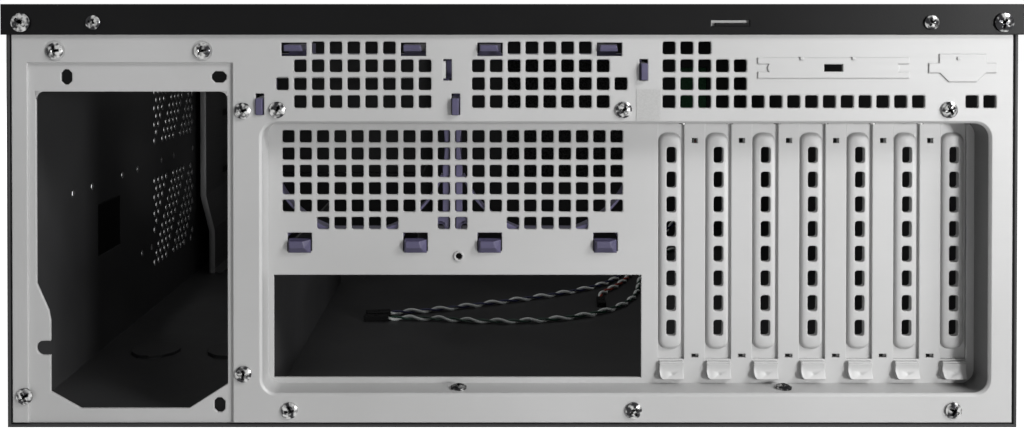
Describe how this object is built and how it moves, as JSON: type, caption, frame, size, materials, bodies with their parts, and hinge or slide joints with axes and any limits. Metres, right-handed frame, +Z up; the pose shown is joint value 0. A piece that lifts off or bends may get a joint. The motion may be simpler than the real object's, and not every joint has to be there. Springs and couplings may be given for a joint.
{
  "type": "empty rackmount server case",
  "caption": "Rackmount server case of four units, empty: folded pan and lid, vented rear panel with card slots, supply opening, fan holders and front bays.",
  "frame": {"origin": "middle of the pan's underside", "axes": "+Z up, rear face towards -Y, +X to the right as seen from the rear"},
  "size_m": [0.4826, 0.4782, 0.1775],
  "materials": {
    "black_sheet": "satin black powder coat",
    "galvanised_sheet": "matt galvanised steel",
    "bright_screw": "bright zinc",
    "purple_plastic": "satin moulded",
    "black_plastic": "fine texture",
    "lens_plastic": "clear",
    "board_green": "solder mask",
    "filter_foam": "open foam",
    "handle_metal": "satin black",
    "blue_wire": "satin",
    "green_wire": "satin",
    "red_wire": "satin"
  },
  "bodies": {
    "chassis": {"base_pan": "black_sheet", "supply_divider": "black_sheet", "front_panel": "black_sheet", "rack_ear_left": "black_sheet", "rack_ear_right": "black_sheet", "rear_panel": "galvanised_sheet", "recess_walls": "galvanised_sheet", "recess_panel": "galvanised_sheet", "side_plug": "black_plastic", "supply_plate": "galvanised_sheet", "tie_brackets": "galvanised_sheet", "drive_cage": "galvanised_sheet", "rear_panel_screws": "bright_screw", "recess_screws": "bright_screw", "fan_holder_left": "purple_plastic", "fan_holder_right": "purple_plastic", "front_bezel": "black_plastic", "switches": "black_plastic", "indicator_lenses": "lens_plastic", "switch_board": "board_green", "dust_filter": "filter_foam", "handle_left": "handle_metal", "handle_right": "handle_metal", "lead_blue": "blue_wire", "lead_green": "green_wire", "lead_red": "red_wire", "slot_cover_1": "galvanised_sheet", "slot_cover_2": "galvanised_sheet", "slot_cover_3": "galvanised_sheet", "slot_cover_4": "galvanised_sheet", "slot_cover_5": "galvanised_sheet", "slot_cover_6": "galvanised_sheet", "slot_cover_7": "galvanised_sheet", "bay_blank_1": "black_plastic", "bay_blank_2": "black_plastic", "bay_blank_3": "black_plastic", "plug_blue": "black_plastic", "plug_green": "black_plastic", "plug_red": "black_plastic"},
    "cover": {"top_cover": "black_sheet", "cover_screws": "bright_screw"},
    "power_key": {"power_button": "black_plastic"},
    "reset_key": {"reset_button": "black_plastic"}
  },
  "joints": [
    {"name": "cover_slide", "type": "slide", "parent": "chassis", "child": "cover", "axis": [0, -1, 0], "range_m": [0, 0.025]},
    {"name": "power_press", "type": "slide", "parent": "chassis", "child": "power_key", "axis": [0, -1, 0], "range_m": [0, 0.0015], "stiffness_N_per_m": 800},
    {"name": "reset_press", "type": "slide", "parent": "chassis", "child": "reset_key", "axis": [0, -1, 0], "range_m": [0, 0.0015], "stiffness_N_per_m": 800}
  ]
}
